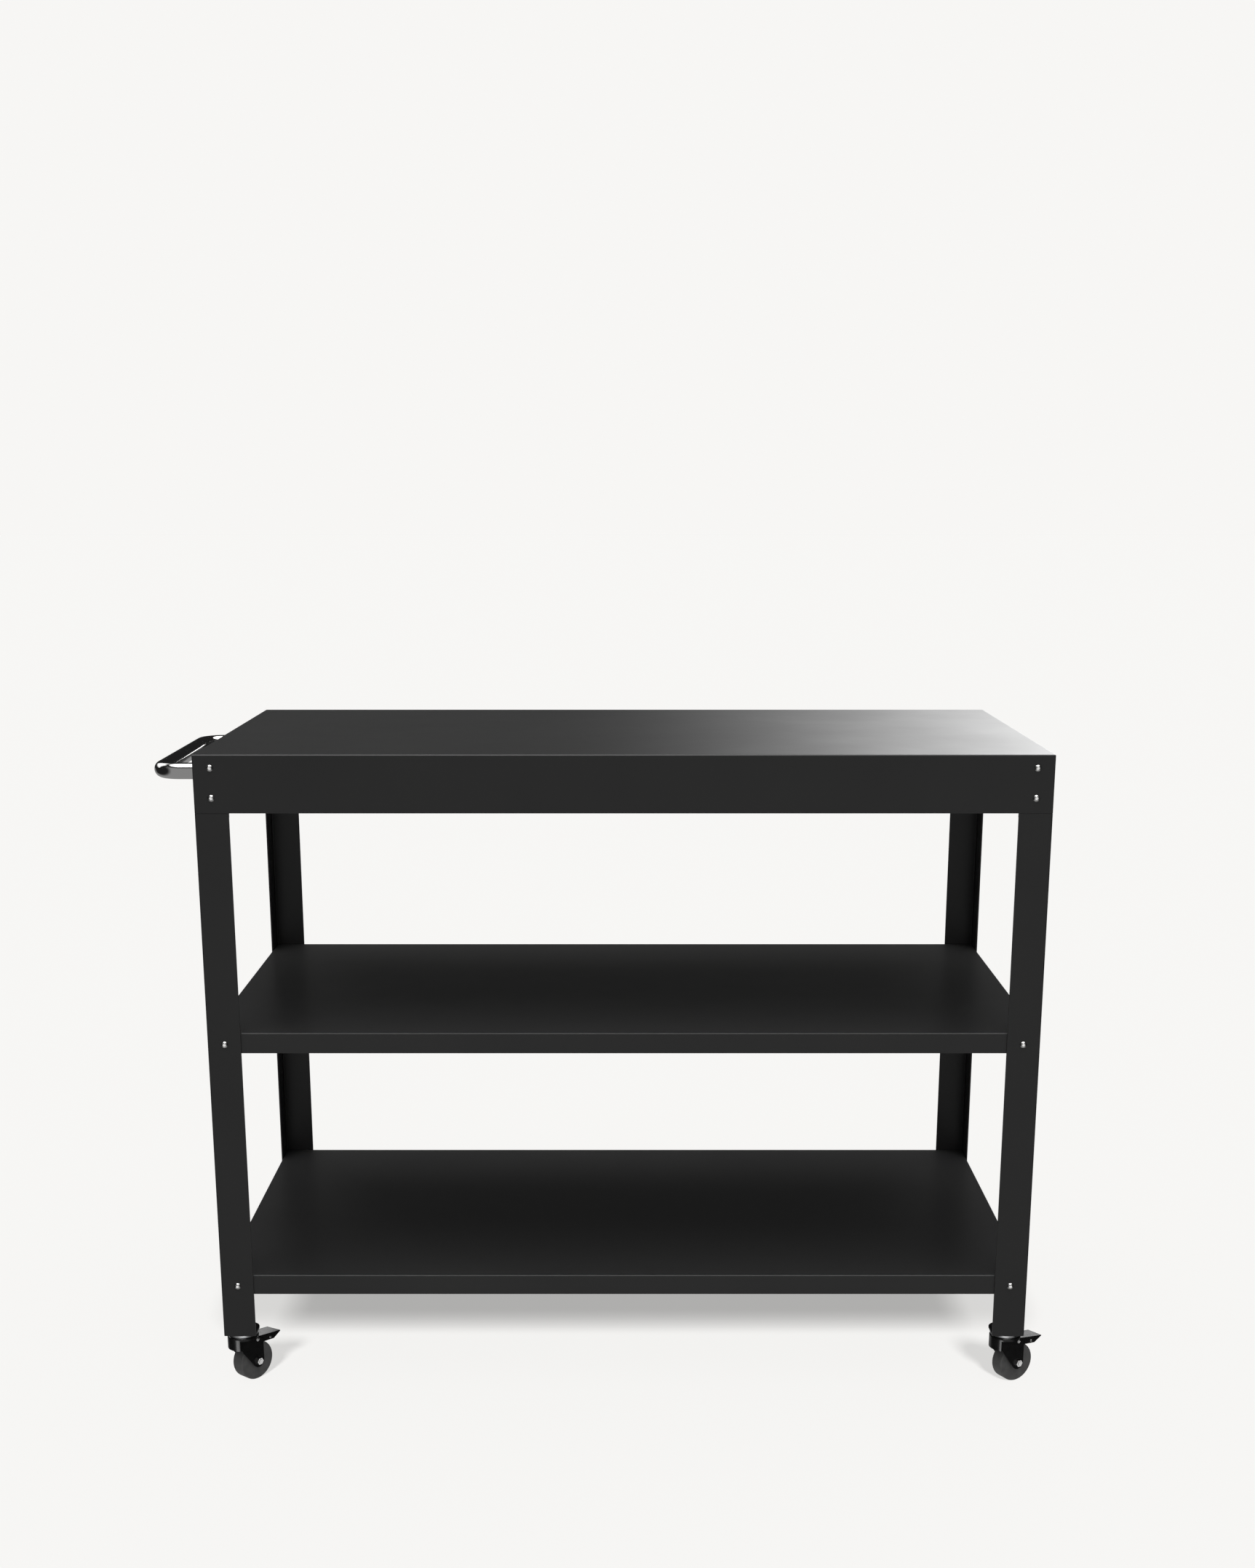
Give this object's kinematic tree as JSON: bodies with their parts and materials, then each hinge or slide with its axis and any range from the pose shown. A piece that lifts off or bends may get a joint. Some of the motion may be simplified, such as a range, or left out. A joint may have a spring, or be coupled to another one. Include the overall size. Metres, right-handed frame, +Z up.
{
  "type": "shelf cart",
  "caption": "Folded sheet-steel utility cart with a flat worktop, open shelves, angle legs, an end tube handle and braked swivel casters.",
  "frame": {"origin": "on the floor, under the centre of the bounding box, which the handle at -X and the front right brake pedal at +X bound", "axes": "+Z up; X along the cart's length with the handle at -X; the front is at -Y"},
  "size_m": [1.3236, 0.6058, 0.9525],
  "materials": {
    "powder_coat": "satin",
    "stainless": "polished",
    "bright_steel": "polished",
    "zinc_plate": "satin",
    "gloss_black": "gloss",
    "wheel_rubber": "satin"
  },
  "bodies": {
    "cart": {"top_tray": "powder_coat", "middle_shelf": "powder_coat", "bottom_shelf": "powder_coat", "front_left_leg": "powder_coat", "front_right_leg": "powder_coat", "rear_left_leg": "powder_coat", "rear_right_leg": "powder_coat", "front_left_foot_plate": "powder_coat", "front_right_foot_plate": "powder_coat", "rear_left_foot_plate": "powder_coat", "rear_right_foot_plate": "powder_coat", "handle_tube": "stainless", "handle_plugs": "zinc_plate", "handle_screws": "bright_steel", "handle_washers": "zinc_plate", "apron_bolts": "bright_steel", "shelf_bolts": "bright_steel", "frame_nuts": "zinc_plate", "caster_nuts": "zinc_plate", "front_left_caster_stem": "zinc_plate", "front_right_caster_stem": "zinc_plate", "rear_left_caster_stem": "zinc_plate", "rear_right_caster_stem": "zinc_plate", "front_left_swivel_race": "zinc_plate", "front_right_swivel_race": "zinc_plate", "rear_left_swivel_race": "zinc_plate", "rear_right_swivel_race": "zinc_plate"},
    "front_left_caster": {"front_left_fork": "gloss_black", "front_left_swivel_balls": "bright_steel", "front_left_axle_bolt": "bright_steel", "front_left_axle_nut": "bright_steel", "front_left_axle_sleeve": "zinc_plate", "front_left_pedal_pin": "bright_steel"},
    "front_left_wheel_body": {"front_left_wheel": "wheel_rubber"},
    "front_left_pedal_body": {"front_left_brake_pedal": "gloss_black"},
    "front_right_caster": {"front_right_fork": "gloss_black", "front_right_swivel_balls": "bright_steel", "front_right_axle_bolt": "bright_steel", "front_right_axle_nut": "bright_steel", "front_right_axle_sleeve": "zinc_plate", "front_right_pedal_pin": "bright_steel"},
    "front_right_wheel_body": {"front_right_wheel": "wheel_rubber"},
    "front_right_pedal_body": {"front_right_brake_pedal": "gloss_black"},
    "rear_left_caster": {"rear_left_fork": "gloss_black", "rear_left_swivel_balls": "bright_steel", "rear_left_axle_bolt": "bright_steel", "rear_left_axle_nut": "bright_steel", "rear_left_axle_sleeve": "zinc_plate", "rear_left_pedal_pin": "bright_steel"},
    "rear_left_wheel_body": {"rear_left_wheel": "wheel_rubber"},
    "rear_left_pedal_body": {"rear_left_brake_pedal": "gloss_black"},
    "rear_right_caster": {"rear_right_fork": "gloss_black", "rear_right_swivel_balls": "bright_steel", "rear_right_axle_bolt": "bright_steel", "rear_right_axle_nut": "bright_steel", "rear_right_axle_sleeve": "zinc_plate", "rear_right_pedal_pin": "bright_steel"},
    "rear_right_wheel_body": {"rear_right_wheel": "wheel_rubber"},
    "rear_right_pedal_body": {"rear_right_brake_pedal": "gloss_black"}
  },
  "joints": [
    {"name": "front_left_swivel", "type": "hinge", "parent": "cart", "child": "front_left_caster", "pos_m": [-0.54978, -0.276, 0.082], "axis": [0, 0, 1], "continuous": true},
    {"name": "front_left_spin", "type": "hinge", "parent": "front_left_caster", "child": "front_left_wheel_body", "pos_m": [-0.53949, -0.26374, 0.03], "axis": [-0.766, 0.6428, 0], "continuous": true},
    {"name": "front_left_brake", "type": "hinge", "parent": "front_left_caster", "child": "front_left_pedal_body", "pos_m": [-0.53949, -0.26374, 0.0648], "axis": [-0.766, 0.6428, 0], "range_deg": [0, 12]},
    {"name": "front_right_swivel", "type": "hinge", "parent": "cart", "child": "front_right_caster", "pos_m": [0.60222, -0.276, 0.082], "axis": [0, 0, 1], "continuous": true},
    {"name": "front_right_spin", "type": "hinge", "parent": "front_right_caster", "child": "front_right_wheel_body", "pos_m": [0.61608, -0.268, 0.03], "axis": [-0.5, 0.866, 0], "continuous": true},
    {"name": "front_right_brake", "type": "hinge", "parent": "front_right_caster", "child": "front_right_pedal_body", "pos_m": [0.61608, -0.268, 0.0648], "axis": [-0.5, 0.866, 0], "range_deg": [0, 12]},
    {"name": "rear_left_swivel", "type": "hinge", "parent": "cart", "child": "rear_left_caster", "pos_m": [-0.54978, 0.276, 0.082], "axis": [0, 0, 1], "continuous": true},
    {"name": "rear_left_spin", "type": "hinge", "parent": "rear_left_caster", "child": "rear_left_wheel_body", "pos_m": [-0.53667, 0.26682, 0.03], "axis": [0.5736, 0.8192, 0], "continuous": true},
    {"name": "rear_left_brake", "type": "hinge", "parent": "rear_left_caster", "child": "rear_left_pedal_body", "pos_m": [-0.53667, 0.26682, 0.0648], "axis": [0.5736, 0.8192, 0], "range_deg": [0, 12]},
    {"name": "rear_right_swivel", "type": "hinge", "parent": "cart", "child": "rear_right_caster", "pos_m": [0.60222, 0.276, 0.082], "axis": [0, 0, 1], "continuous": true},
    {"name": "rear_right_spin", "type": "hinge", "parent": "rear_right_caster", "child": "rear_right_wheel_body", "pos_m": [0.58837, 0.268, 0.03], "axis": [0.5, -0.866, 0], "continuous": true},
    {"name": "rear_right_brake", "type": "hinge", "parent": "rear_right_caster", "child": "rear_right_pedal_body", "pos_m": [0.58837, 0.268, 0.0648], "axis": [0.5, -0.866, 0], "range_deg": [0, 12]}
  ]
}
